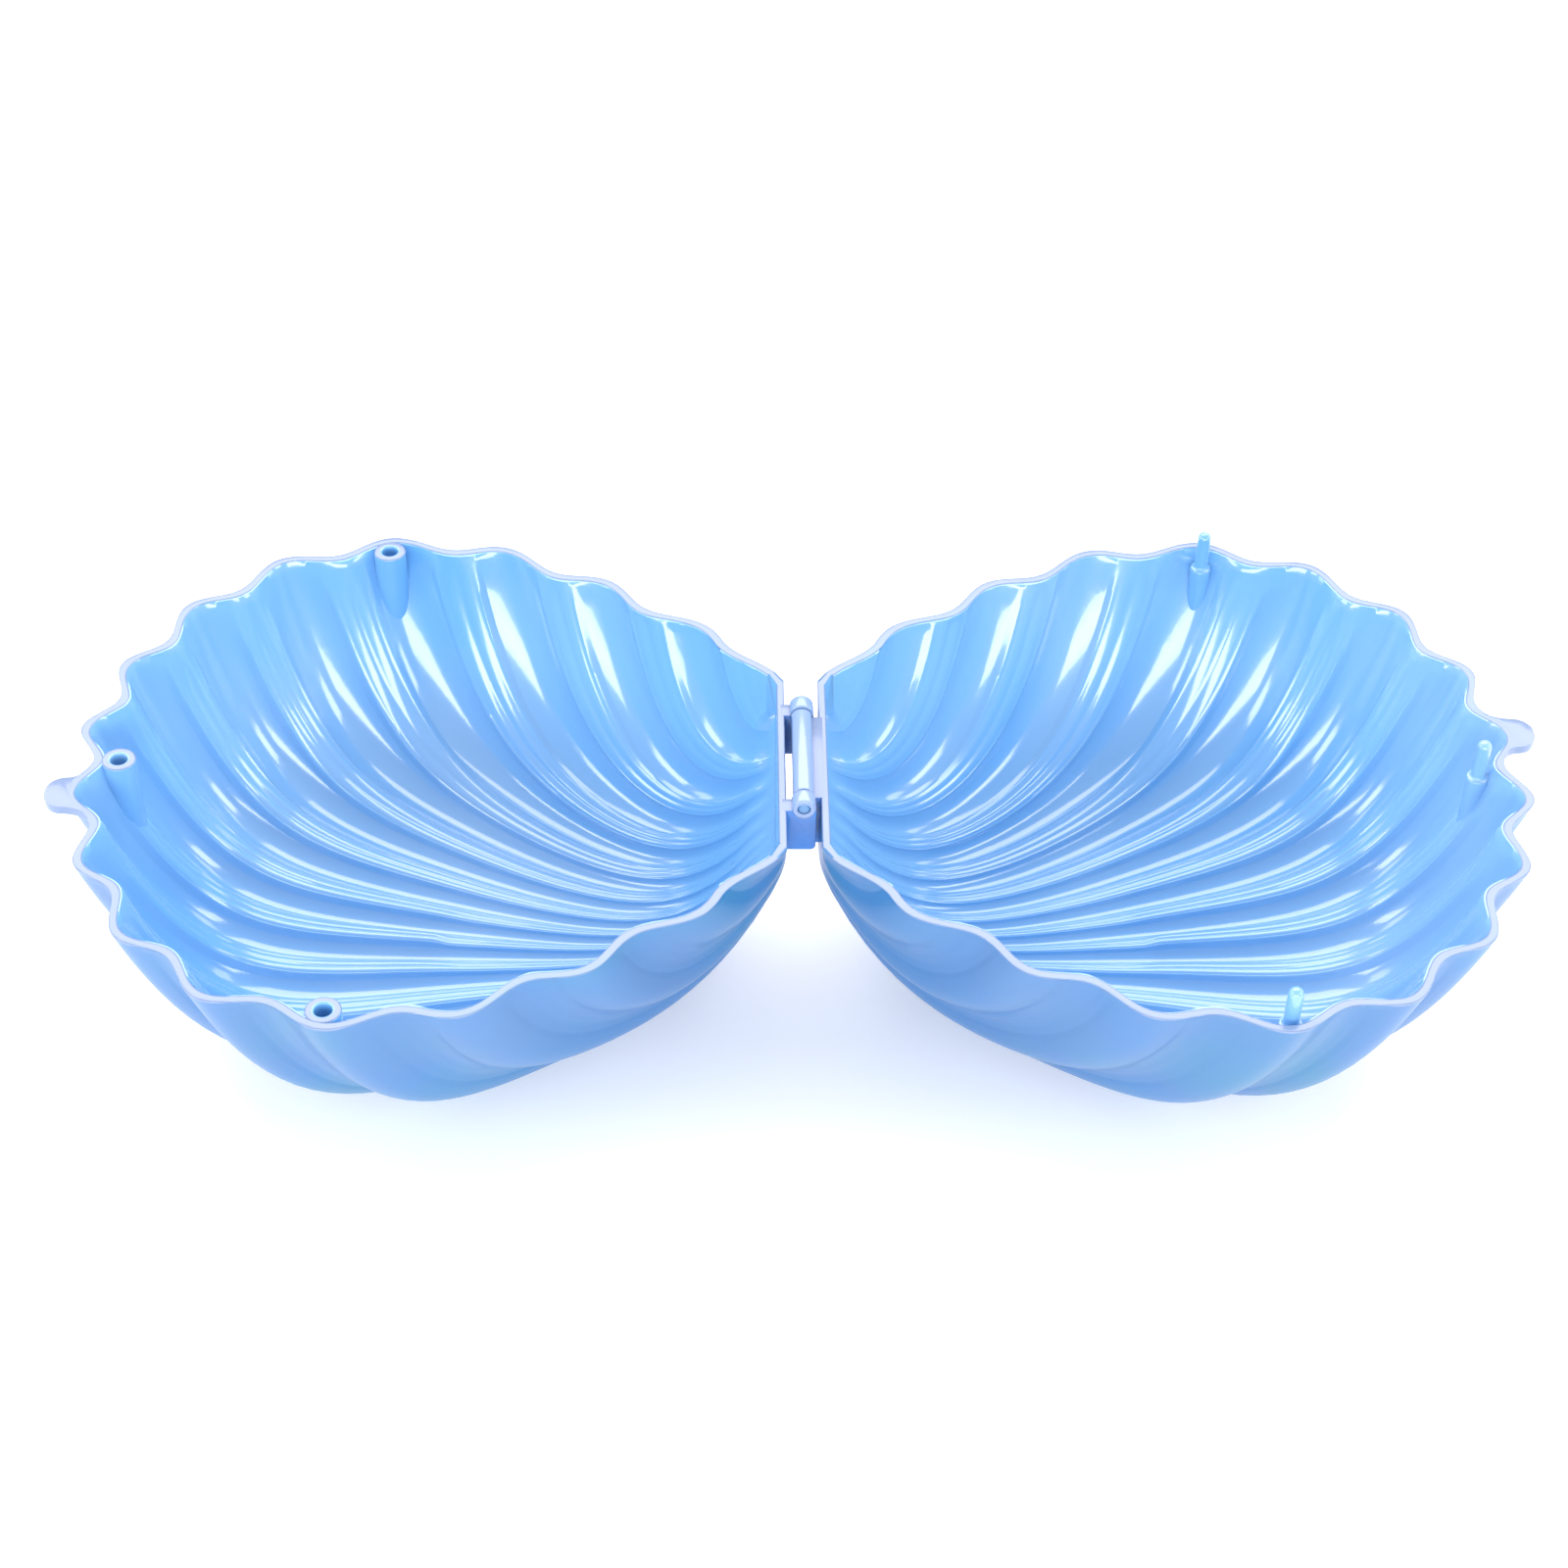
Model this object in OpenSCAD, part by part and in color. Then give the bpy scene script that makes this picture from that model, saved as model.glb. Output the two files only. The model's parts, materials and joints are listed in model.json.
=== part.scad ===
// Scallop-shell hinged case, opened flat: two ribbed valves lie on their backs
// and meet at a barrel hinge. The hinge line runs along Y through x = 0. The base
// valve with the sockets is on the -X side, the lid valve with the pins on the +X
// side, and z = 0 is the surface that both valves rest on. Millimetres throughout.

/* [Shell outline] */
// Distance from the hinge line to the centre of the outline
outline_centre = 61; // [50:0.5:75]
// Mean radius of the outline through the tips of the scallops
outline_radius = 59.8; // [50:0.1:70]
// Second harmonic of the outline radius
outline_h2 = 0.4; // [-4:0.1:4]
// Third harmonic of the outline radius: squares the shoulders
outline_h3 = -3.1; // [-6:0.1:3]
// Fourth harmonic of the outline radius
outline_h4 = 1.0; // [-3:0.1:3]
// Angle from one notch to the next at the lip, in degrees
rib_angle = 16; // [14:0.1:18]
// Growth of that angle for each rib away from the lip, in degrees
rib_spread = 0.38; // [0:0.01:0.6]
// Depth of the notches between scallops round the side
notch_depth = 3.3; // [1:0.1:5]
// Extra notch depth at the lip, taken off again towards the hinge
notch_lip_extra = 0.6; // [0:0.1:2]

/* [Shell section] */
// Depth of one valve below its rim at the centre of the outline
valve_depth = 44; // [30:0.5:55]
// Exponent of the section: higher is flatter below and steeper at the rim
section_power = 4.7; // [2:0.1:6]
// How much deeper the valve is towards its hinge
hinge_bias = 0.11; // [0:0.01:0.4]
// Wall thickness
wall = 1.6; // [1:0.1:3]
// Distance from the hinge line to the outer face of each hinge wall
hinge_gap = 2.8; // [2.2:0.1:6]
// Thickness of the hinge walls
hinge_wall = 1.3; // [1:0.1:3]
// How far behind the hinge line the ribs converge
umbo_back = 10; // [0:0.5:20]
// Sideways bow of the flank ribs, as a share of their length
rib_bow = 0.075; // [0:0.005:0.15]
// How fast the ribs rise from the hinge: lower gives higher ribs near the hinge
rib_relief = 0.7; // [0.5:0.05:1.5]

/* [Hinge] */
// Outside diameter of the end knuckles
barrel_d = 3.9; // [3:0.1:5]
// Outside diameter of the middle knuckle
mid_d = 3.5; // [3:0.1:5]
// Overall barrel length
barrel_len = 26.6; // [20:0.2:40]
// Distance of the middle of the barrel from the middle line, towards the far side
barrel_y = 1.3; // [-3:0.1:3]
// Length of the middle knuckle, which belongs to the lid
mid_len = 20.2; // [12:0.2:30]
// End clearance between knuckles
knuckle_gap = 0.3; // [0.1:0.05:0.6]
// Hinge pin diameter
pin_d = 2; // [1.2:0.1:2.4]
// Radial clearance of the pin in the middle knuckle
pin_play = 0.05; // [0.02:0.01:0.1]
// Gap between the two rims when the case is shut
shut_gap = 0.3; // [0.1:0.05:0.6]
// Height of the brackets under the end knuckles
end_bracket_h = 8.4; // [3:0.1:12]
// Height of the bracket under the middle knuckle
mid_bracket_h = 9.8; // [3:0.1:12]

/* [Locating sockets and pins] */
// Distance of the two side sockets from the hinge line
side_x = 72.2; // [60:0.1:85]
// Distance of the two side sockets from the middle line
side_y = 56.6; // [50:0.1:60]
// Distance of the lip socket from the hinge line
lip_x = 111.2; // [100:0.1:115]
// Socket outside diameter
socket_d = 5.6; // [4:0.1:8]
// Socket bore diameter
bore_d = 2.7; // [2:0.1:4]
// Depth of the socket bore
bore_depth = 5.2; // [4:0.1:12]
// Locating pin diameter
locator_d = 2.4; // [1.6:0.1:3]
// Height of a locating pin above its rim
locator_h = 5; // [3:0.1:8]
// Diameter of the post under a locating pin
post_d = 3.6; // [3:0.1:7]
// Depth of the top of that post below the rim
post_drop = 2.4; // [0:0.1:5]

/* [Thumb tabs] */
// Distance from the hinge line to the tip of each tab
tab_reach = 121.8; // [120:0.1:126]
// Width of a tab, beyond the curves that lead into it
tab_w = 7.2; // [5:0.1:12]
// Radius of the round corners of a tab
tab_corner = 3.2; // [1:0.1:3.5]
// Thickness of a tab
tab_t = 1.5; // [1:0.1:3]
// Distance of each tab from the middle line, on opposite sides
tab_y = 8.2; // [5:0.1:12]

/* [Hidden] */
$fn = 48;
shell_colour = [0.52, 0.74, 0.97];
trim_colour = [0.72, 0.83, 0.97];

// Facets: columns run round the rim, rows run from the hinge wall to the rim.
last_rib = 8.25;
rib_steps = 8;
columns = 2 * last_rib * rib_steps;
rows = 9;
rim_crowding = 1.7;

// Outline radius about the centre of the outline, at polar angle a from the lip.
function outline_r(a) =
    outline_radius + outline_h2 * cos(2 * a) + outline_h3 * cos(3 * a) + outline_h4 * cos(4 * a);

// Polar angle of rib number k: notches are at whole numbers, scallop tips half way.
function rib_polar(k) = sign(k) * (rib_angle * abs(k) + rib_spread * k * k);

// Point of the smooth outline at rib number k.
function outline_at(k) =
    let (a = rib_polar(k), r = outline_r(a))
    [outline_centre + r * cos(a), r * sin(a)];

// Depth of the notches at polar angle a, and the share of it at rib number k. The
// notches fade out over the last half rib, at the hinge corners.
function notch_at(a) = notch_depth + notch_lip_extra * cos(a);
function flute(k) = (1 + cos(360 * k)) / 2 * min(1, 2 * (last_rib - abs(k)));

// Row positions from 0 at the hinge wall to 1 at the rim, closer near the rim.
function row_at(j) = 1 - pow(1 - j / rows, rim_crowding);

// A point of the shell at rib k and row share s. `inset` is 0 on the outside and
// the wall thickness on the inside, and it is measured square to the smooth bowl.
function shell_point(k, s, inset) =
    let (
        rim = outline_at(k),
        // where the chord of the rib crosses the hinge wall, seen from above
        cross_y = rim[1] * (hinge_gap + umbo_back) / (rim[0] + umbo_back),
        corner = outline_at(last_rib),
        corner_y = corner[1] * (hinge_gap + umbo_back) / (corner[0] + umbo_back),
        foot_x = hinge_gap + inset * hinge_wall / wall,
        start = [foot_x, cross_y * (corner_y - inset) / corner_y],
        chord = rim - start,
        bow = 4 * s * (1 - s) * rib_bow * sin(rib_polar(k)),
        q = start + s * chord + bow * [chord[1], -chord[0]],
        dx = q[0] - outline_centre,
        a = atan2(q[1], dx),
        rho = min(1, norm([dx, q[1]]) / outline_r(a)),
        deep = valve_depth * (1 - hinge_bias * rho * cos(a)),
        slope = deep * section_power * pow(rho, section_power - 1) / outline_r(a),
        tilt = 1 / sqrt(1 + slope * slope),
        lift = notch_at(a) * flute(k) * pow(s, rib_relief) + inset * (s > 0 ? 1 : 0.5),
        side = lift * slope * tilt * (s > 0 ? 1 : 0),
        z = -deep * (1 - pow(rho, section_power)) + lift * tilt
    )
    [q[0] - side * cos(a), q[1] - side * sin(a), s == 1 ? 0 : min(z, -0.2)];

// One closed ring of points for each rib number: down the outside from the rim to
// the hinge wall, up that wall, over it, and back along the inside to the rim.
function shell_ring(k) =
    let (
        outside = [for (j = [rows:-1:0]) shell_point(k, row_at(j), 0)],
        inside = [for (j = [0:rows]) shell_point(k, row_at(j), wall)],
        foot_out = outside[rows],
        foot_in = inside[0]
    )
    concat(
        outside,
        [[foot_out[0], foot_out[1], 0], [foot_in[0], foot_in[1], 0]],
        inside
    );

ring_size = 2 * (rows + 1) + 2;
shell_points = [
    for (i = [0:columns]) each shell_ring(-last_rib + i / rib_steps)
];

// Walls between neighbouring rings, as triangles.
skin_faces = [
    for (i = [0:columns - 1], j = [0:ring_size - 1])
        let (
            n = (j + 1) % ring_size,
            p = i * ring_size + j,
            q = i * ring_size + n,
            r = (i + 1) * ring_size + n,
            t = (i + 1) * ring_size + j
        )
        each [[p, q, r], [p, r, t]]
];

// The end of the shell at ring i: a fan on the outside, a fan on the inside and the
// flat top between them. `turn` reverses the faces at the other end.
function end_faces(i, turn) =
    let (
        b = i * ring_size,
        out_top = b + rows + 1,
        in_top = b + rows + 2,
        out_rim = b,
        in_rim = b + ring_size - 1,
        outside = [for (j = [0:rows - 1]) [out_top, b + j + 1, b + j]],
        inside = [for (j = [0:rows - 1]) [in_top, in_top + j + 2, in_top + j + 1]],
        top = [[out_rim, in_rim, in_top], [out_rim, in_top, out_top]],
        all = concat(outside, inside, top)
    )
    [for (f = all) turn ? [f[2], f[1], f[0]] : f];

shell_faces = concat(skin_faces, end_faces(0, false), end_faces(columns, true));

// The rim plane stands as high as the deepest point of the shell is low.
rim_z = -min([for (p = shell_points) p[2]]);
axis_z = rim_z + shut_gap / 2;

knuckle_len = (barrel_len - mid_len) / 2 - knuckle_gap;
knuckle_out = barrel_len / 2 - knuckle_len / 2;
far_knuckle_y = barrel_y + knuckle_out;
near_knuckle_y = barrel_y - knuckle_out;
root_bite = hinge_wall / 2;
barrel_bite = 0.1;

// Rib numbers between which a tab is rooted in the rim.
tab_root_low = 0.12;
tab_root_high = 0.88;

// How far an end bracket reaches past the hinge line.
end_bracket_reach = 2.0;

// A valve on the +X side, with its rim plane at rim_z.
module valve() {
    color(shell_colour)
        translate([0, 0, rim_z])
            polyhedron(points = shell_points, faces = shell_faces, convexity = 8);
}

// The base valve is bored where a socket's bore runs into its sloping wall.
module base_valve() {
    color(shell_colour)
        mirror([1, 0, 0])
            difference() {
                valve();
                at_side(1) bore();
                at_side(-1) bore();
                at_lip() bore();
            }
}

module lid_valve() {
    valve();
}

// A point on a quadratic curve from a to b, pulled towards c.
function curve(a, c, b, t) = (1 - t) * (1 - t) * a + 2 * t * (1 - t) * c + t * t * b;

// Half of a tab seen from above, on the side of the rim point at rib k: a round
// corner at the tip, then a curve that leads the straight side into the rim.
function tab_side(k) =
    let (
        root = shell_point(k, 1, wall / 2),
        turn = sign(root[1] - tab_y),
        edge_y = tab_y + turn * tab_w / 2,
        corner = [tab_reach - tab_corner, edge_y - turn * tab_corner],
        end = [corner[0], edge_y],
        pull = [(corner[0] + root[0]) / 2, edge_y]
    )
    concat(
        [for (a = [0:15:90]) corner + tab_corner * [cos(a), turn * sin(a)]],
        [for (t = [0.2:0.2:1]) curve(end, pull, [root[0], root[1]], t)]
    );

// A rounded tongue on the scallop beside the lip. Its root runs inside the rim and its
// top is level with it.
module tab() {
    tip_low = tab_side(tab_root_low);
    tip_high = tab_side(tab_root_high);
    root = [
        for (i = [1:7])
            let (k = tab_root_high + (tab_root_low - tab_root_high) * i / 8)
            let (p = shell_point(k, 1, wall / 2))
            [p[0], p[1]]
    ];
    color(trim_colour)
        translate([0, 0, rim_z - tab_t])
            linear_extrude(tab_t)
                polygon(concat(
                    [for (i = [len(tip_low) - 1:-1:0]) tip_low[i]],
                    tip_high,
                    root
                ));
}

// The tabs stand on opposite sides of the middle line.
module base_tab() {
    rotate([0, 0, 180]) tab();
}

module lid_tab() {
    tab();
}

// Takes off what would stick out through the sloping wall of the valve. The cut is a
// plane inside the wall: it leans in by `lean` degrees and starts `out` from the axis
// of the boss at the rim. The wall is on the local +X side.
module wall_cut(out, lean) {
    translate([out, 0, 0])
        rotate([0, lean, 0])
            translate([0, -10, -40])
                cube([20, 20, 60]);
}

// The bore of a socket, down from local z = 0.
module bore() {
    translate([0, 0, -bore_depth]) cylinder(d = bore_d, h = bore_depth + 1);
}

// A socket tube with its mouth at local z = 0 and the wall on its +X side.
module socket(out, lean) {
    color(trim_colour)
        difference() {
            translate([0, 0, -20]) cylinder(d = socket_d, h = 20);
            bore();
            wall_cut(out, lean);
        }
}

// A locating pin on its post, with local z = 0 at the rim plane.
module locator(out, lean) {
    color(trim_colour) {
        difference() {
            translate([0, 0, -20]) cylinder(d = post_d, h = 20 - post_drop);
            wall_cut(out, lean);
        }
        translate([0, 0, -post_drop - 1])
            cylinder(d = locator_d, h = locator_h - locator_d / 2 + post_drop + 1);
        translate([0, 0, locator_h - locator_d / 2]) sphere(d = locator_d);
    }
}

// Where the bosses stand on the +X valve, and how their wall leans there.
side_turn = atan2(side_y, side_x - outline_centre);
side_out = 3.05;
side_lean = 24.4;
lip_out = 3.9;
lip_lean = 22.8;

module at_side(y) {
    translate([side_x, y * side_y, rim_z]) rotate([0, 0, y * side_turn]) children();
}

module at_lip() {
    translate([lip_x, 0, rim_z]) children();
}

module socket_far() {
    mirror([1, 0, 0]) at_side(1) socket(side_out, side_lean);
}

module socket_near() {
    mirror([1, 0, 0]) at_side(-1) socket(side_out, side_lean);
}

module socket_lip() {
    mirror([1, 0, 0]) at_lip() socket(lip_out, lip_lean);
}

module locator_far() {
    at_side(1) locator(side_out, side_lean);
}

module locator_near() {
    at_side(-1) locator(side_out, side_lean);
}

module locator_lip() {
    at_lip() locator(lip_out, lip_lean);
}

// A cylinder along the hinge axis, centred at y.
module on_axis(d, y, len) {
    translate([0, y, axis_z])
        rotate([90, 0, 0]) cylinder(d = d, h = len, center = true);
}

// A plain knuckle of the hinge barrel.
module knuckle(d, y, len, hole) {
    color(trim_colour)
        difference() {
            on_axis(d, y, len);
            on_axis(hole, y, len + 2);
        }
}

module base_knuckle_far() {
    knuckle(barrel_d, far_knuckle_y, knuckle_len, pin_d);
}

module base_knuckle_near() {
    knuckle(barrel_d, near_knuckle_y, knuckle_len, pin_d);
}

module lid_knuckle() {
    knuckle(mid_d, barrel_y, mid_len, pin_d + 2 * pin_play);
}

// A block from x0 to the hinge wall of the +X valve, its top level with the rim.
module block(y, len, x0, h) {
    translate([x0, y - len / 2, rim_z - h])
        cube([hinge_gap + root_bite - x0, len, h]);
}

// The bracket of an end knuckle: a block that reaches right under the barrel.
module end_bracket(y) {
    color(shell_colour)
        mirror([1, 0, 0])
            difference() {
                block(y, knuckle_len, -end_bracket_reach, end_bracket_h);
                on_axis(barrel_d - 2 * barrel_bite, y, knuckle_len + 2);
            }
}

module base_bracket_far() {
    end_bracket(far_knuckle_y);
}

module base_bracket_near() {
    end_bracket(near_knuckle_y);
}

// The bracket of the middle knuckle: a thin web beside the barrel on a narrow block.
module lid_bracket() {
    color(shell_colour)
        difference() {
            union() {
                block(barrel_y, mid_len, 0, mid_d / 2);
                block(barrel_y, mid_len, hinge_gap / 2, mid_bracket_h);
            }
            on_axis(mid_d - 2 * barrel_bite, barrel_y, mid_len + 2);
        }
}

module hinge_pin() {
    color(trim_colour)
        on_axis(pin_d, barrel_y, barrel_len - 0.4);
}

base_valve();
lid_valve();
base_tab();
lid_tab();
socket_far();
socket_lip();
socket_near();
locator_far();
locator_lip();
locator_near();
base_knuckle_far();
base_knuckle_near();
lid_knuckle();
base_bracket_far();
base_bracket_near();
lid_bracket();
hinge_pin();
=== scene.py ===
# Hinged scallop-shell case, opened flat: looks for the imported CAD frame.
# Both valves are rebuilt here as smooth shells from the same formulas as the CAD
# part, with rounded rims, fillets and fine lines on the ribs. Shell sizes are in
# millimetres, as in the part, and become metres where a mesh is made.
import json
import math

import bmesh
import bpy
import numpy as np
from mathutils import Matrix, Vector


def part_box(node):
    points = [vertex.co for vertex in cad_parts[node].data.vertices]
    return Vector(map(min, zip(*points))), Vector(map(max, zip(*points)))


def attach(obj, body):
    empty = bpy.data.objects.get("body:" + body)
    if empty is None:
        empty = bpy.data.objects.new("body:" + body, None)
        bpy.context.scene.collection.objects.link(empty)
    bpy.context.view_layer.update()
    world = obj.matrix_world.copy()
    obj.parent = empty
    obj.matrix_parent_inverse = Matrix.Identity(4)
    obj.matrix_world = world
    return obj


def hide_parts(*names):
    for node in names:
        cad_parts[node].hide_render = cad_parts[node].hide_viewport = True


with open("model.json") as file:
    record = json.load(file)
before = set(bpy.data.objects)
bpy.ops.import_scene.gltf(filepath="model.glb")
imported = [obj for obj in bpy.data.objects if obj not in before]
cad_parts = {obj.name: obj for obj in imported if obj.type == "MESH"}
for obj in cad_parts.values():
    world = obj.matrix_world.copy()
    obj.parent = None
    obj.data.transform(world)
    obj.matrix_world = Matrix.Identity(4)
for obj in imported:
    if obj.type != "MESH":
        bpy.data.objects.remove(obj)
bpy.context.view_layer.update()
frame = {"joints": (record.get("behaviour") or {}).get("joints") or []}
MM = 0.001

# Driving dimensions of the shell, the same as in the part.
OUTLINE_CENTRE = 61.0
OUTLINE_RADIUS = 59.8
OUTLINE_HARMONICS = {2: 0.4, 3: -3.1, 4: 1.0}
RIB_ANGLE = 16.0
RIB_SPREAD = 0.38
NOTCH_DEPTH = 3.3
NOTCH_LIP_EXTRA = 0.6
VALVE_DEPTH = 44.0
SECTION_POWER = 4.7
HINGE_BIAS = 0.11
WALL = 1.6
HINGE_GAP = 2.8
HINGE_WALL = 1.3
UMBO_BACK = 10.0
RIB_BOW = 0.075
LAST_RIB = 8.25

# Driving dimensions of the hinge, the bosses and the tabs, the same as in the part.
BARREL_D = 3.9
MID_D = 3.5
PIN_D = 2.0
PIN_PLAY = 0.05
BARREL_BITE = 0.1
SIDE_BOSS = (72.2, 56.6, 3.05, 24.4)
LIP_BOSS = (111.2, 0.0, 3.9, 22.8)
SOCKET_D = 5.6
BORE_D = 2.7
BORE_DEPTH = 5.2
LOCATOR_D = 2.4
LOCATOR_H = 5.0
POST_D = 3.6
POST_DROP = 2.4
TAB_REACH = 121.8
TAB_W = 7.2
TAB_T = 1.5
TAB_Y = 8.2
TAB_CORNER = 3.2
TAB_ROOT = (0.12, 0.88)

# The bosses run this much deeper than in the part, and end in the middle of the wall,
# which is rounder here. A block cuts them there: it spans BLOCK_ANGLE radians to each
# side of the boss, is BLOCK_DEPTH thick and reaches from the rim down to the row share
# BLOCK_START in BLOCK_ROWS steps.
BOSS_EXTRA = 5.0
BLOCK_ANGLE = 0.30
BLOCK_DEPTH = 12.0
BLOCK_START = 0.6
BLOCK_ROWS = 40

# How far the tools that cut the bosses and the bores stand above the rim.
CUT_ABOVE = 1.0

# Places taken from the frame: the rim plane and the hinge line. Tabs and brackets
# stand a little proud of the rim, so that no two faces coincide.
PROUD = 0.02
RIM_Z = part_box("lid_valve")[1][2] / MM
AXIS_Z = frame["joints"][0]["pos_m"][2] / MM
TOP_Z = RIM_Z + PROUD

# Mesh density and the extra detail of the visual shells.
COLUMNS_PER_RIB = 40
OUTSIDE_ROWS = 34
INSIDE_ROWS = 54
RIM_CROWDING = 1.7
RIM_ROUND = 0.4
EDGE_STEPS = 4
CORNER_ROUND = 2.4
CORNER_STEPS = 6
INSIDE_FINE = 1.0
OUTSIDE_FINE = 0.3
RELIEF = 0.55

# The rib band: its half width as a share of the rib pitch, the height of the channel
# at its edge and of its back, its crown, the width of its edge, and its grooves as
# (place, width, depth).
BAND = 0.19
CHANNEL_EDGE = 0.62
BAND_HEIGHT = 0.80
BAND_CROWN = 0.10
BAND_EDGE = 0.03
GROOVES = ((0.0, 0.035, 0.08), (0.15, 0.02, 0.06))

# Row shares over which the band fades in from the hinge and out at the rim.
BAND_IN = (0.0, 0.10)
BAND_OUT = (0.995, 0.955)

# Numerical limits: how near two points merge, and the angles that count as sharp.
MERGE = 0.002
SHARP_DEG = 40
BEVEL_DEG = 30

# Sides of the round parts.
BOSS_SIDES = 64
BORE_SIDES = 48
KNUCKLE_SIDES = 72
PIN_SIDES = 48

# Roundings of the small parts. A revolved cap ends CAP_HOLE from its middle, where one
# small face closes it.
CAP_HOLE = 0.02
SOCKET_EASE = 0.35
BORE_BOTTOM = 0.3
POST_EASE = 0.5
PIN_EASE = 0.35
KNUCKLE_EASE = 0.3
MOUTH_EASE = 0.15
TAB_BEVEL = 0.3
BRACKET_BEVEL = 0.25
END_BRACKET_CORNER = 0.9
LID_BRACKET_CORNER = 0.5

# Faces that look up more than this, as the Z of their normal, count as a top and take the rim's
# paler colour, a painted sheen.
TOP_FACING = 0.6

# What all the plastics share: the gloss, the fine grain and the flow lines. Heights are
# in metres and scales per metre.
PLASTIC_IOR = 1.7
COAT_ROUGHNESS = 0.07
GRAIN_STRENGTH = 0.05
GRAIN_HEIGHT = 0.0002
GRAIN_SCALE = 1400
FLOW_HEIGHT = 0.0006
FLOW_SCALE = 90

# The floor, the point that all the lights aim at, in metres, and the sky's strength.
FLOOR_HALF = 3.0
FLOOR_GLOW = 0.22
LIGHT_TARGET = (0, 0, 0.03)
SKY_STRENGTH = 0.75

# Numbers of the materials on a valve: inner face, outer face, rim. The rim's paler colour is
# painted sheen.
IN, OUT, RIM = 0, 1, 2


# ---------------------------------------------------------------- shell formulas
def outline_r(a):
    """Outline radius about the outline centre at polar angle a (radians)."""
    return OUTLINE_RADIUS + sum(h * np.cos(n * a) for n, h in OUTLINE_HARMONICS.items())


def rib_polar(k):
    return np.sign(k) * np.radians(RIB_ANGLE * np.abs(k) + RIB_SPREAD * k * k)


def outline_at(k):
    a = rib_polar(k)
    r = outline_r(a)
    return OUTLINE_CENTRE + r * np.cos(a), r * np.sin(a)


def smooth(edge0, edge1, x):
    t = np.clip((x - edge0) / (edge1 - edge0), 0, 1)
    return t * t * (3 - 2 * t)


def rib_profile(k, s, fine):
    """Height of the rib at rib number k: 1 on a rib, 0 in the middle of a channel.

    With `fine` above 0 the rib becomes a narrow band with crisp edges and fine grooves
    along it, between wide round channels, and this fades out towards the rim.
    """
    t = np.abs(k - np.round(k))
    plain = (1 + np.cos(2 * np.pi * t)) / 2
    channel = CHANNEL_EDGE * ((0.5 - np.maximum(t, BAND)) / (0.5 - BAND)) ** 2
    band = BAND_HEIGHT - CHANNEL_EDGE + BAND_CROWN * np.cos(np.pi * t / BAND / 2)
    grooves = sum(depth * np.exp(-(((t - at) / width) ** 2)) for at, width, depth in GROOVES)
    stepped = channel + (band - grooves) * smooth(BAND + BAND_EDGE, BAND, t)
    share = fine * smooth(*BAND_OUT, s) * smooth(*BAND_IN, s)
    fade = np.clip(2 * (LAST_RIB - np.abs(k)), 0, 1)
    return (plain + share * (stepped - plain)) * fade


def shell_point(k, s, inset, fine=0.0):
    """Points of the shell at ribs k and row share s, `inset` inside its outer face."""
    k = np.asarray(k, float)
    s = np.asarray(s, float) + 0 * k
    rim_x, rim_y = outline_at(k)
    corner_x, corner_y = outline_at(LAST_RIB)
    reach = HINGE_GAP + UMBO_BACK
    cross_y = rim_y * reach / (rim_x + UMBO_BACK)
    corner_cross = corner_y * reach / (corner_x + UMBO_BACK)
    start_x = HINGE_GAP + inset * HINGE_WALL / WALL
    start_y = cross_y * (corner_cross - inset) / corner_cross
    chord_x, chord_y = rim_x - start_x, rim_y - start_y
    bow = 4 * s * (1 - s) * RIB_BOW * np.sin(rib_polar(k))
    qx = start_x + s * chord_x + bow * chord_y
    qy = start_y + s * chord_y - bow * chord_x
    dx = qx - OUTLINE_CENTRE
    a = np.arctan2(qy, dx)
    rho = np.minimum(1, np.hypot(dx, qy) / outline_r(a))
    deep = VALVE_DEPTH * (1 - HINGE_BIAS * rho * np.cos(a))
    slope = deep * SECTION_POWER * rho ** (SECTION_POWER - 1) / outline_r(a)
    tilt = 1 / np.sqrt(1 + slope * slope)
    notch = NOTCH_DEPTH + NOTCH_LIP_EXTRA * np.cos(a)
    lift = notch * rib_profile(k, s, fine) * s**RELIEF + inset * np.where(s > 0, 1, 0.5)
    side = lift * slope * tilt * (s > 0)
    z = -deep * (1 - rho**SECTION_POWER) + lift * tilt
    z = np.where(s >= 1, 0, np.minimum(z, -0.2))
    return np.stack([qx - side * np.cos(a), qy - side * np.sin(a), z], -1)


def curve_rows(a, corner, b, steps):
    """Rows of a quadratic curve from row a to row b, pulled towards the corner row."""
    ts = [i / steps for i in range(steps + 1)]
    return [(1 - t) ** 2 * a + 2 * t * (1 - t) * corner + t * t * b for t in ts]


def skin_rows(k, inset, fine, steps):
    """One face of the bowl as rows over all ribs: the bowl from the hinge corner out to
    the rim, the fillet from the bowl up the hinge wall, and the wall's top edge."""
    foot = shell_point(k, 0, inset, fine)
    rim_x, rim_y = outline_at(k)
    chord = np.hypot(rim_x - foot[:, 0], rim_y - foot[:, 1])
    radius = np.minimum(np.minimum(CORNER_ROUND, 0.45 * np.abs(foot[:, 2])), 0.2 * chord)
    first = radius / chord
    shares = 1 - (1 - np.arange(steps + 1) / steps) ** RIM_CROWDING
    bowl = [shell_point(k, first + (1 - first) * share, inset, fine) for share in shares]
    up = foot + radius[:, None] * [0, 0, 1]
    return bowl, curve_rows(bowl[0], foot, up, CORNER_STEPS), foot * [1, 1, 0]


def rounded_edge(below, edge, across, r):
    """Rows that round off a top edge, from the wall below it on to the flat top."""
    span = across - edge
    width = np.linalg.norm(span, axis=1, keepdims=True)
    r = np.minimum(r, 0.45 * width)
    height = np.maximum(np.abs(below[:, 2:3] - edge[:, 2:3]), 1e-6)
    start = edge + (below - edge) * np.minimum(r, 0.8 * height) / height
    return curve_rows(start, edge, edge + span * r / np.maximum(width, 1e-6), EDGE_STEPS)


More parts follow.
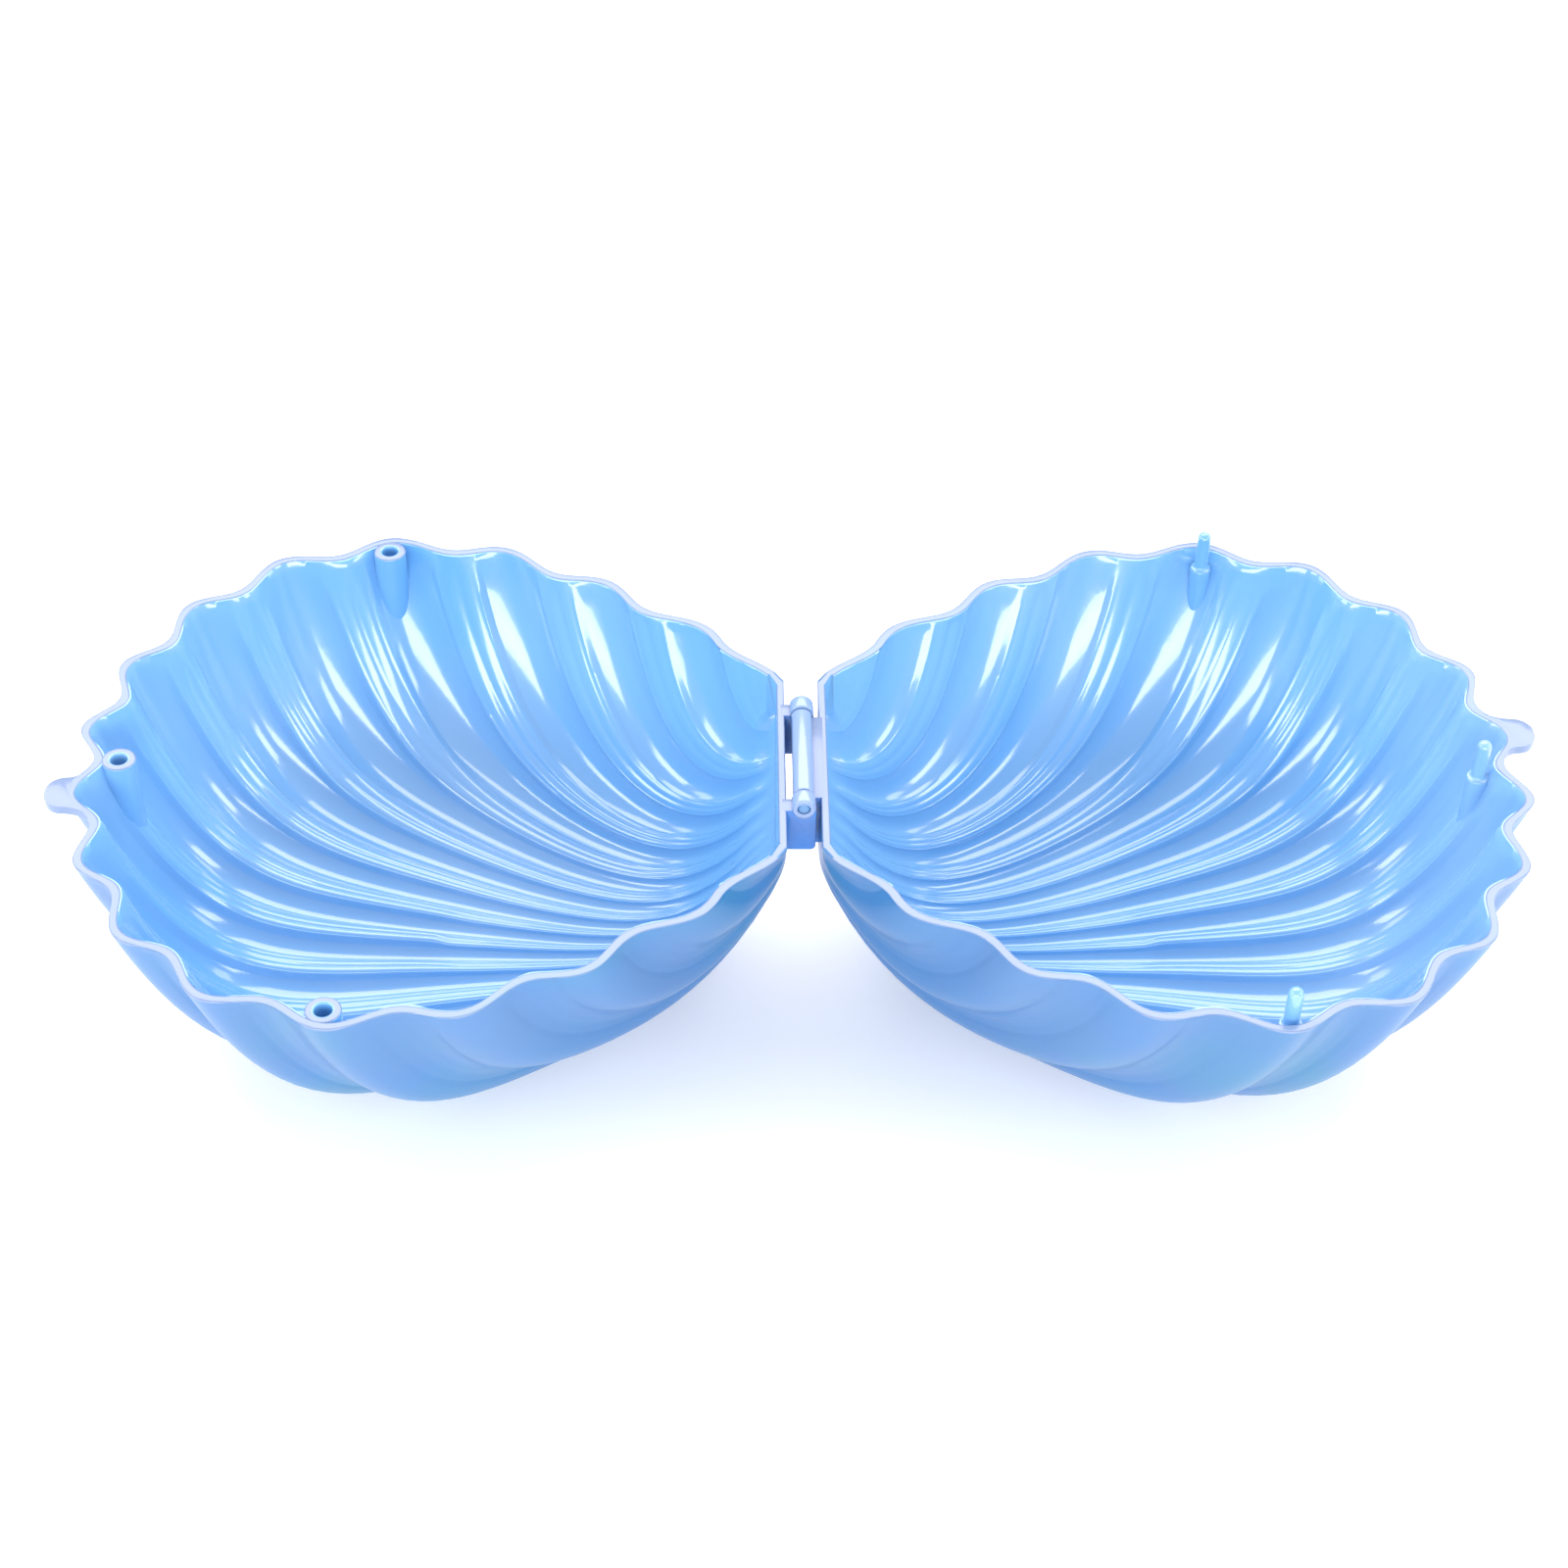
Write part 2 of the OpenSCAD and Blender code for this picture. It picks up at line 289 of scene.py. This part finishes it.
def shell_rows():
    """The closed ring as rows over all ribs, with the material number of the faces that
    follow each row and the row numbers of the two top edges of the hinge wall."""
    k = np.linspace(-LAST_RIB, LAST_RIB, int(2 * LAST_RIB * COLUMNS_PER_RIB) + 1)
    bowl_out, bend_out, top_out = skin_rows(k, 0.0, OUTSIDE_FINE, OUTSIDE_ROWS)
    bowl_in, bend_in, top_in = skin_rows(k, WALL, INSIDE_FINE, INSIDE_ROWS)
    outer_rim = rounded_edge(bowl_out[-2], bowl_out[-1], bowl_in[-1], RIM_ROUND)
    inner_rim = rounded_edge(bowl_in[-2], bowl_in[-1], bowl_out[-1], RIM_ROUND)
    outer_top = rounded_edge(bend_out[-1], top_out, top_in, RIM_ROUND)
    inner_top = rounded_edge(bend_in[-1], top_in, top_out, RIM_ROUND)
    stretches = [
        (outer_rim[::-1], RIM, OUT),
        (bowl_out[-2:0:-1], OUT, OUT),
        (bend_out, OUT, OUT),
        (outer_top, RIM, RIM),
        (inner_top[::-1], RIM, IN),
        (bend_in[::-1], IN, IN),
        (bowl_in[1:-1], IN, IN),
        (inner_rim, RIM, RIM),
    ]
    rows, slots = [], []
    for points, slot, last in stretches:
        rows += points
        slots += [slot] * (len(points) - 1) + [last]
    out_top = sum(len(points) for points, _, _ in stretches[:4]) - 1
    return rows, slots, out_top, out_top + 1


def build_valve(name, side, node, body, materials):
    """A valve as one closed mesh; side is +1 for the lid and -1 for the base. The
    finest ribs are trimmed at the ground that the valve rests on."""
    rows, slots, out_top, in_top = shell_rows()
    size, columns = len(rows), len(rows[0])
    points = np.stack(rows, 1) * [side, 1, 1] + [0, 0, RIM_Z]
    points[..., 2] = np.maximum(points[..., 2], 0)
    faces, numbers = [], []
    for i in range(columns - 1):
        for j in range(size):
            here, there, n = i * size, (i + 1) * size, (j + 1) % size
            faces.append((here + j, here + n, there + n, there + j))
            numbers.append(slots[j])
    for i in (0, columns - 1):
        b = i * size
        faces.append([b + j for j in range(out_top + 1)])
        faces.append([b + j for j in range(in_top, size)])
        faces.append([b, b + out_top, b + in_top, b + size - 1])
        numbers += [OUT, IN, RIM]
    me = new_mesh(name, points.reshape(-1, 3), faces, numbers)
    return place(me, name, body, (node,), materials)


# ---------------------------------------------------------------- small mesh tools
def new_mesh(name, points, faces, numbers=None):
    """A mesh from points in millimetres, its doubles merged and its normals outward."""
    me = bpy.data.meshes.new(name)
    me.from_pydata((np.asarray(points, float) * MM).tolist(), [], [list(f) for f in faces])
    if numbers:
        me.polygons.foreach_set("material_index", numbers)
    bm = bmesh.new()
    bm.from_mesh(me)
    bmesh.ops.remove_doubles(bm, verts=bm.verts, dist=MERGE * MM)
    bmesh.ops.recalc_face_normals(bm, faces=bm.faces)
    bm.to_mesh(me)
    bm.free()
    me.polygons.foreach_set("use_smooth", [True] * len(me.polygons))
    me.set_sharp_from_angle(angle=math.radians(SHARP_DEG))
    return me


def place(me, name, body, nodes, materials):
    """The mesh as a piece that rides on a body and stands for the CAD nodes."""
    for material in materials:
        me.materials.append(material)
    obj = bpy.data.objects.new(name, me)
    bpy.context.scene.collection.objects.link(obj)
    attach(obj, body)
    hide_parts(*nodes)
    return obj


def paint_sheen_on_tops(obj):
    """Gives the faces that look up the piece's second material, the rim's paler colour, which
    is painted sheen of the light overhead.
    """
    for face in obj.data.polygons:
        face.material_index = 1 if face.normal.z > TOP_FACING else 0


def arc(cx, cy, r, start, end, steps):
    """Points of an arc about (cx, cy), from start to end in degrees."""
    angles = [math.radians(start + (end - start) * i / steps) for i in range(steps + 1)]
    return [(cx + r * math.cos(a), cy + r * math.sin(a)) for a in angles]


def revolve(profile, segments, closed):
    """Points and faces of (radius, height) pairs turned about local Z."""
    count = len(profile)
    points, faces = [], []
    for i in range(segments):
        a = 2 * math.pi * i / segments
        points += [(r * math.cos(a), r * math.sin(a), h) for r, h in profile]
    for i in range(segments):
        here, there = i * count, (i + 1) % segments * count
        for j in range(count if closed else count - 1):
            n = (j + 1) % count
            faces.append((here + j, here + n, there + n, there + j))
    if not closed:
        for j in (0, count - 1):
            faces.append([i * count + j for i in range(segments)])
    return points, faces


def prism(outline, low, high):
    """Points and faces of a flat outline drawn up from height low to height high."""
    count = len(outline)
    points = [(x, y, low) for x, y in outline] + [(x, y, high) for x, y in outline]
    faces = [list(range(count)), list(range(count, 2 * count))]
    faces += [(i, (i + 1) % count, (i + 1) % count + count, i + count) for i in range(count)]
    return points, faces


def soften(obj, width, segments=3):
    """Rounds the piece's sharp edges with an applied bevel."""
    bm = bmesh.new()
    bm.from_mesh(obj.data)
    limit = math.radians(BEVEL_DEG)
    sharp = [e for e in bm.edges if e.is_manifold and e.calc_face_angle(0) > limit]
    bmesh.ops.bevel(bm, geom=sharp, offset=width * MM, segments=segments, profile=0.5,
                    affect="EDGES", clamp_overlap=True)
    bm.to_mesh(obj.data)
    bm.free()
    obj.data.polygons.foreach_set("use_smooth", [True] * len(obj.data.polygons))
    obj.data.set_sharp_from_angle(angle=math.radians(SHARP_DEG))


# ---------------------------------------------------------------- bosses and tabs
def stand(points, spot, side):
    """Moves points made about local Z to a boss's place, with local z = 0 at the rim."""
    x, y = spot[:2]
    turn = math.atan2(y, x - OUTLINE_CENTRE)
    return [
        (
            side * (x + u * math.cos(turn) - v * math.sin(turn)),
            y + u * math.sin(turn) + v * math.cos(turn),
            RIM_Z + z,
        )
        for u, v, z in points
    ]


def cut_away(piece, tool_mesh):
    """Takes the tool mesh out of a piece, and removes the tool."""
    tool = bpy.data.objects.new("tool", tool_mesh)
    bpy.context.scene.collection.objects.link(tool)
    cut = piece.modifiers.new("cut", "BOOLEAN")
    cut.operation = "DIFFERENCE"
    cut.solver = "EXACT"
    cut.object = tool
    graph = bpy.context.evaluated_depsgraph_get()
    result = bpy.data.meshes.new_from_object(piece.evaluated_get(graph))
    piece.modifiers.clear()
    piece.data = result
    bpy.data.objects.remove(tool)


def wall_block(spot, side):
    """A block whose inner face is the middle of the wall beside a boss."""
    x, y = spot[:2]
    turn = math.atan2(y, x - OUTLINE_CENTRE)
    ribs = np.linspace(-LAST_RIB, LAST_RIB, 16 * COLUMNS_PER_RIB)
    ribs = ribs[np.abs(rib_polar(ribs) - turn) < BLOCK_ANGLE]
    fine = (INSIDE_FINE + OUTSIDE_FINE) / 2
    shares = np.linspace(1, BLOCK_START, BLOCK_ROWS + 1)
    rows = [shell_point(ribs, s, WALL / 2, fine) for s in shares]
    rows = [rows[0] + [0, 0, CUT_ABOVE]] + rows
    away = rows[0] - [OUTLINE_CENTRE, 0, 0]
    away[:, 2] = 0
    away *= BLOCK_DEPTH / np.linalg.norm(away, axis=1, keepdims=True)
    ring = rows + [row + away for row in rows[::-1]]
    n = len(ribs)
    faces = []
    for i in range(len(ring)):
        low, high = i * n, (i + 1) % len(ring) * n
        faces += [(low + j, low + j + 1, high + j + 1, high + j) for j in range(n - 1)]
    for j, step in ((0, 1), (n - 1, -1)):
        last = len(ring) - 1
        for i in range(len(rows) - 1):
            quad = (i, i + 1, last - i - 1, last - i)
            faces.append(tuple(corner * n + j for corner in quad[::step]))
    points = np.concatenate(ring) * [side, 1, 1] + [0, 0, RIM_Z]
    return new_mesh("wall_block", [tuple(point) for point in points], faces)


def build_boss(node, profile, radius, spot, side, body, materials):
    """A boss from its top profile down to the middle of the valve's wall."""
    out, lean = spot[2:]
    end = -(out + radius) / math.tan(math.radians(lean)) - BOSS_EXTRA
    top = profile[-1][1]
    down = [(radius, top + (end - top) * (i + 1) / 12) for i in range(12)]
    points, faces = revolve(profile + down + [(CAP_HOLE, end)], BOSS_SIDES, False)
    me = new_mesh(node + "_boss", stand(points, spot, side), faces)
    boss = place(me, node + "_boss", body, (node,), materials)
    cut_away(boss, wall_block(spot, side))
    # Faces that look up take the second material, the rim's paler colour, painted sheen of the
    # light overhead.
    if len(materials) > 1:
        paint_sheen_on_tops(boss)
    return boss


def bore_out(spot, side, pieces):
    """Cuts a socket's bore, with a round bottom edge and an eased mouth, out of pieces."""
    bore, ease, bottom = BORE_D / 2, SOCKET_EASE, BORE_BOTTOM
    profile = (
        [(CAP_HOLE, -BORE_DEPTH)]
        + arc(bore - bottom, -BORE_DEPTH + bottom, bottom, -90, 0, 4)
        + arc(bore + ease, -ease, ease, 180, 90, 6)
        + [(bore + ease, CUT_ABOVE), (CAP_HOLE, CUT_ABOVE)]
    )
    points, faces = revolve(profile, BORE_SIDES, False)
    for piece in pieces:
        cut_away(piece, new_mesh("bore", stand(points, spot, side), faces))


def socket_profile():
    """The round top edge of a socket; its bore is cut out afterwards."""
    outer, ease = SOCKET_D / 2, SOCKET_EASE
    return [(CAP_HOLE, 0)] + arc(outer - ease, -ease, ease, 90, 0, 6)


def locator_profile():
    """The round tip of a locating pin, its step and the edge of its post."""
    pin, post, ease = LOCATOR_D / 2, POST_D / 2, POST_EASE
    floor = -POST_DROP
    dome = arc(0, LOCATOR_H - pin, pin, 89, 0, 10)
    foot = arc(pin + ease, floor + ease, ease, 180, 270, 6)
    return dome + foot + arc(post - ease, floor - ease, ease, 90, 0, 6)


def tab_side(k):
    """Half of a tab seen from above: its round corner and the curve into the rim."""
    root = shell_point([k], 1, WALL / 2)[0, :2]
    turn = 1 if root[1] > TAB_Y else -1
    edge = TAB_Y + turn * TAB_W / 2
    end = np.array([TAB_REACH - TAB_CORNER, edge])
    pull = np.array([(end[0] + root[0]) / 2, edge])
    tip = arc(end[0], edge - turn * TAB_CORNER, TAB_CORNER, 0, 90 * turn, 12)
    return tip + [tuple(point) for point in curve_rows(end, pull, root, 8)[1:]]


def build_tab(node, side, body, materials):
    """A thumb tab: a flat tongue that grows out of the rim, its top level with it."""
    low, high = TAB_ROOT
    inner = np.linspace(high, low, 9)[1:-1]
    root = [tuple(point[:2]) for point in shell_point(inner, 1, WALL / 2)]
    outline = tab_side(low)[::-1] + tab_side(high)[1:] + root
    points, faces = prism([(side * x, side * y) for x, y in outline], RIM_Z - TAB_T, TOP_Z)
    me = new_mesh(node + "_tongue", points, faces)
    tab = place(me, node + "_tongue", body, (node,), materials)
    soften(tab, TAB_BEVEL)
    return tab


# ---------------------------------------------------------------- hinge
def along_y(points, y):
    """Turns points made about local Z so that they lie about the hinge line."""
    return [(px, y + h, AXIS_Z + py) for px, py, h in points]


def build_knuckle(node, body, materials):
    """A knuckle as a tube with rounded mouths, measured from its CAD node."""
    low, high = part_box(node)
    outer = (high[0] - low[0]) / MM / 2
    length = (high[1] - low[1]) / MM
    middle = (high[1] + low[1]) / MM / 2
    bore = PIN_D / 2 + PIN_PLAY
    ease, mouth = KNUCKLE_EASE, MOUTH_EASE
    half = length / 2
    profile = (
        arc(outer - ease, -half + ease, ease, -90, 0, 5)
        + arc(outer - ease, half - ease, ease, 0, 90, 5)
        + arc(bore + mouth, half - mouth, mouth, 90, 180, 4)
        + arc(bore + mouth, -half + mouth, mouth, 180, 270, 4)
    )
    points, faces = revolve(profile, KNUCKLE_SIDES, True)
    me = new_mesh(node + "_tube", along_y(points, middle), faces)
    return place(me, node + "_tube", body, (node,), materials)


def build_pin(node, body, materials):
    """The hinge pin, a rod with rounded ends."""
    low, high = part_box(node)
    radius = (high[0] - low[0]) / MM / 2
    half = (high[1] - low[1]) / MM / 2
    ease = PIN_EASE
    profile = (
        [(CAP_HOLE, -half)]
        + arc(radius - ease, -half + ease, ease, -90, 0, 6)
        + arc(radius - ease, half - ease, ease, 0, 90, 6)
        + [(CAP_HOLE, half)]
    )
    middle = (high[1] + low[1]) / MM / 2
    points, faces = revolve(profile, PIN_SIDES, False)
    me = new_mesh(node + "_rod", along_y(points, middle), faces)
    return place(me, node + "_rod", body, (node,), materials)


def seat(r, start, end):
    """The round seat of a bracket under the barrel, in X and Z about the hinge line."""
    return arc(0, AXIS_Z, r, start, end, 16)


def build_bracket(node, outline, body, materials):
    """A bracket from its outline in X and Z, as long as its CAD node. Its top faces take the
    second material, the rim's paler colour that they run into, which is painted sheen of the
    light overhead."""
    low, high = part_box(node)
    points, faces = prism(outline, low[1] / MM, high[1] / MM)
    me = new_mesh(node + "_block", [(x, h, z) for x, z, h in points], faces)
    block = place(me, node + "_block", body, (node,), materials)
    soften(block, BRACKET_BEVEL)
    paint_sheen_on_tops(block)
    return block


def end_bracket_outline(node):
    """A block under the barrel with a rounded lower corner away from its valve."""
    low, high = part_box(node)
    left, right, bottom = low[0] / MM, high[0] / MM, low[2] / MM
    corner = END_BRACKET_CORNER
    r = BARREL_D / 2 - BARREL_BITE
    half_angle = math.degrees(math.acos((AXIS_Z - TOP_Z) / r))
    reach = math.degrees(math.asin(min(1, right / r)))
    return (
        [(left, bottom)]
        + arc(right - corner, bottom + corner, corner, -90, 0, 6)
        + ([(right, TOP_Z)] if right > r else [])
        + seat(r, -90 + min(reach, half_angle), -90 - half_angle)
        + [(left, TOP_Z)]
    )


def lid_bracket_outline(node):
    """A thin web beside the barrel on a narrow block against the lid's hinge wall."""
    low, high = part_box(node)
    right, bottom = high[0] / MM, low[2] / MM
    shelf = RIM_Z - MID_D / 2
    r = MID_D / 2 - BARREL_BITE
    start = math.degrees(math.asin((shelf - AXIS_Z) / r)) if abs(shelf - AXIS_Z) < r else -90
    end = math.degrees(math.asin((TOP_Z - AXIS_Z) / r))
    corner = LID_BRACKET_CORNER
    return (
        [(right, bottom)]
        + arc(HINGE_GAP / 2 + corner, bottom + corner, corner, 270, 180, 6)
        + [(HINGE_GAP / 2, shelf), (0, shelf)]
        + seat(r, start, end)
        + [(right, TOP_Z)]
    )


# ---------------------------------------------------------------- materials
def pearl_plastic(name, colours, roughness, coat, mottle_size, line_bump):
    """Glossy moulded plastic with soft pearl tints, faint flow lines and fine grain.

    colours are the linear colours that the mottling runs through; mottle_size is the
    size of the tint patches in metres and line_bump the strength of the flow lines.
    """
    material = bpy.data.materials.new(name)
    material.use_nodes = True
    tree = material.node_tree
    shader = tree.nodes["Principled BSDF"]
    shader.inputs["Roughness"].default_value = roughness
    shader.inputs["IOR"].default_value = PLASTIC_IOR
    shader.inputs["Coat Weight"].default_value = coat
    shader.inputs["Coat Roughness"].default_value = COAT_ROUGHNESS
    place_of = tree.nodes.new("ShaderNodeTexCoord").outputs["Object"]

    def noise(scale, detail, distortion=0.0):
        node = tree.nodes.new("ShaderNodeTexNoise")
        node.inputs["Scale"].default_value = scale
        node.inputs["Detail"].default_value = detail
        node.inputs["Distortion"].default_value = distortion
        tree.links.new(place_of, node.inputs["Vector"])
        return node.outputs["Fac"]

    ramp = tree.nodes.new("ShaderNodeValToRGB")
    ramp.color_ramp.interpolation = "B_SPLINE"
    while len(ramp.color_ramp.elements) < len(colours):
        ramp.color_ramp.elements.new(0.5)
    for i, colour in enumerate(colours):
        ramp.color_ramp.elements[i].position = 0.25 + 0.5 * i / (len(colours) - 1)
        ramp.color_ramp.elements[i].color = (*colour, 1)
    tree.links.new(noise(1 / mottle_size, 2, 0.6), ramp.inputs["Fac"])
    tree.links.new(ramp.outputs["Color"], shader.inputs["Base Color"])

    grain = tree.nodes.new("ShaderNodeBump")
    grain.inputs["Strength"].default_value = GRAIN_STRENGTH
    grain.inputs["Distance"].default_value = GRAIN_HEIGHT
    tree.links.new(noise(GRAIN_SCALE, 3), grain.inputs["Height"])
    flow = tree.nodes.new("ShaderNodeBump")
    flow.inputs["Strength"].default_value = line_bump
    flow.inputs["Distance"].default_value = FLOW_HEIGHT
    tree.links.new(noise(FLOW_SCALE, 2, 1.5), flow.inputs["Height"])
    tree.links.new(grain.outputs["Normal"], flow.inputs["Normal"])
    tree.links.new(flow.outputs["Normal"], shader.inputs["Normal"])
    return material


def matt(name, colour):
    """A dull surface of one colour, brightened a little so that its shadows stay pale."""
    material = bpy.data.materials.new(name)
    material.use_nodes = True
    shader = material.node_tree.nodes["Principled BSDF"]
    shader.inputs["Base Color"].default_value = (*colour, 1)
    shader.inputs["Roughness"].default_value = 0.9
    shader.inputs["Specular IOR Level"].default_value = 0.1
    shader.inputs["Emission Color"].default_value = (*colour, 1)
    shader.inputs["Emission Strength"].default_value = FLOOR_GLOW
    return material


inner_blue = pearl_plastic(
    "inner_blue", [(0.12, 0.385, 0.74), (0.18, 0.435, 0.75), (0.26, 0.48, 0.76)],
    roughness=0.18, coat=1.0, mottle_size=0.07, line_bump=0.08,
)
outer_pearl = pearl_plastic(
    "outer_pearl",
    [(0.015, 0.185, 0.37), (0.02, 0.17, 0.42), (0.05, 0.16, 0.41), (0.025, 0.195, 0.35)],
    roughness=0.35, coat=0.15, mottle_size=0.05, line_bump=0.05,
)
# The rim's paler, greyer colour is painted sheen: it stands in for the reflection of the light
# overhead on the flat tops.
rim_painted_sheen = pearl_plastic(
    "rim_painted_sheen", [(0.15, 0.25, 0.44), (0.19, 0.26, 0.45), (0.16, 0.28, 0.43)],
    roughness=0.22, coat=0.4, mottle_size=0.03, line_bump=0.05,
)
barrel_pale = pearl_plastic(
    "barrel_pale", [(0.19, 0.34, 0.60), (0.24, 0.37, 0.61), (0.27, 0.36, 0.61)],
    roughness=0.18, coat=0.5, mottle_size=0.02, line_bump=0.05,
)
pin_blue = pearl_plastic(
    "pin_blue", [(0.08, 0.24, 0.52), (0.10, 0.28, 0.55), (0.14, 0.30, 0.55)],
    roughness=0.25, coat=0.3, mottle_size=0.01, line_bump=0.05,
)
bracket_blue = pearl_plastic(
    "bracket_blue", [(0.01, 0.16, 0.55), (0.015, 0.19, 0.62), (0.03, 0.20, 0.60)],
    roughness=0.25, coat=0.3, mottle_size=0.02, line_bump=0.05,
)
# The last material of each tuple is the rim's paler colour, painted sheen.
SHELL = (inner_blue, outer_pearl, rim_painted_sheen)
BRACKET = (bracket_blue, rim_painted_sheen)


# ---------------------------------------------------------------- the pieces
base_shell = build_valve("base_shell", -1, "base_valve", "base", SHELL)
build_valve("lid_shell", 1, "lid_valve", "lid", SHELL)

# The sockets' second material is the rim's paler colour, painted sheen, given to the faces that
# look up.
for side, body, kind, profile, radius, materials in (
    (-1, "base", "socket", socket_profile(), SOCKET_D / 2, (inner_blue, rim_painted_sheen)),
    (1, "lid", "locator", locator_profile(), POST_D / 2, (inner_blue,)),
):
    x, y, out, lean = SIDE_BOSS
    for place_name, spot in (
        ("far", SIDE_BOSS), ("near", (x, -y, out, lean)), ("lip", LIP_BOSS),
    ):
        node = kind + "_" + place_name
        boss = build_boss(node, profile, radius, spot, side, body, materials)
        if kind == "socket":
            bore_out(spot, side, (base_shell, boss))

# The tabs take the rim's paler colour, painted sheen, all over.
build_tab("base_tab", -1, "base", (rim_painted_sheen,))
build_tab("lid_tab", 1, "lid", (rim_painted_sheen,))

build_knuckle("base_knuckle_far", "base", (barrel_pale,))
build_knuckle("base_knuckle_near", "base", (barrel_pale,))
build_knuckle("lid_knuckle", "lid", (barrel_pale,))
build_pin("hinge_pin", "base", (pin_blue,))
for node in ("base_bracket_far", "base_bracket_near"):
    build_bracket(node, end_bracket_outline(node), "base", BRACKET)
build_bracket("lid_bracket", lid_bracket_outline("lid_bracket"), "lid", BRACKET)


# ---------------------------------------------------------------- floor, light, camera
floor_mesh = bpy.data.meshes.new("floor")
corners = [(FLOOR_HALF * x, FLOOR_HALF * y, 0) for x, y in ((-1, -1), (1, -1), (1, 1), (-1, 1))]
floor_mesh.from_pydata(corners, [], [(0, 1, 2, 3)])
floor_mesh.materials.append(matt("floor_white", (0.97, 0.97, 0.97)))
floor = bpy.data.objects.new("floor", floor_mesh)
bpy.context.scene.collection.objects.link(floor)

world = bpy.data.worlds.new("studio")
bpy.context.scene.world = world
world.use_nodes = True
sky = world.node_tree.nodes["Background"]
sky.inputs["Color"].default_value = (0.95, 0.97, 1.0, 1)
sky.inputs["Strength"].default_value = SKY_STRENGTH


def softbox(name, position, width, height, radiance, tint=(1, 1, 1)):
    """A rectangular soft light that shows as a panel of the given brightness."""
    light = bpy.data.lights.new(name, "AREA")
    light.shape = "RECTANGLE"
    light.color = tint
    light.size = width
    light.size_y = height
    light.energy = radiance * math.pi * width * height
    obj = bpy.data.objects.new(name, light)
    obj.location = position
    aim = Vector(LIGHT_TARGET) - Vector(position)
    obj.rotation_euler = aim.to_track_quat("-Z", "Y").to_euler()
    bpy.context.scene.collection.objects.link(obj)


softbox("back", (0.0, 0.50, 0.80), 1.50, 0.80, 3.3, tint=(1.0, 0.94, 1.0))
softbox("front", (-0.05, -0.85, 0.31), 1.25, 0.26, 6)
softbox("front_left", (-0.85, -0.28, 0.42), 0.40, 0.26, 5)
softbox("front_right", (0.85, -0.28, 0.42), 0.40, 0.26, 5)
softbox("left", (-0.95, 0.35, 0.40), 0.50, 0.36, 2.5)
softbox("right", (0.95, 0.35, 0.40), 0.50, 0.36, 2.5)

# The camera looks down at the rim plane from in front, a little turned and rolled.
ELEVATION = math.radians(41.3)
YAW = math.radians(1.6)
ROLL = math.radians(1.3)
DISTANCE = 480.0
ASIDE = (2.98, 3.68)
forward = Vector((0, math.cos(ELEVATION), -math.sin(ELEVATION)))
level_up = Vector((0, math.sin(ELEVATION), math.cos(ELEVATION)))
level_right = Vector((1, 0, 0))
eye = -DISTANCE * forward - ASIDE[0] * level_right - ASIDE[1] * level_up
right = math.cos(ROLL) * level_right + math.sin(ROLL) * level_up
up = math.cos(ROLL) * level_up - math.sin(ROLL) * level_right
turn = Matrix.Rotation(-YAW, 3, "Z")
pose = Matrix((turn @ right, turn @ up, turn @ -forward)).transposed().to_4x4()
pose.translation = turn @ (eye * MM) + Vector((0, 0, RIM_Z * MM))
camera_data = bpy.data.cameras.new("camera")
camera_data.lens = 67.5
camera_data.sensor_width = 36
camera_data.clip_start = 0.01
camera = bpy.data.objects.new("camera", camera_data)
camera.matrix_world = pose
bpy.context.scene.collection.objects.link(camera)
bpy.context.scene.camera = camera
bpy.context.scene.view_settings.view_transform = "Standard"
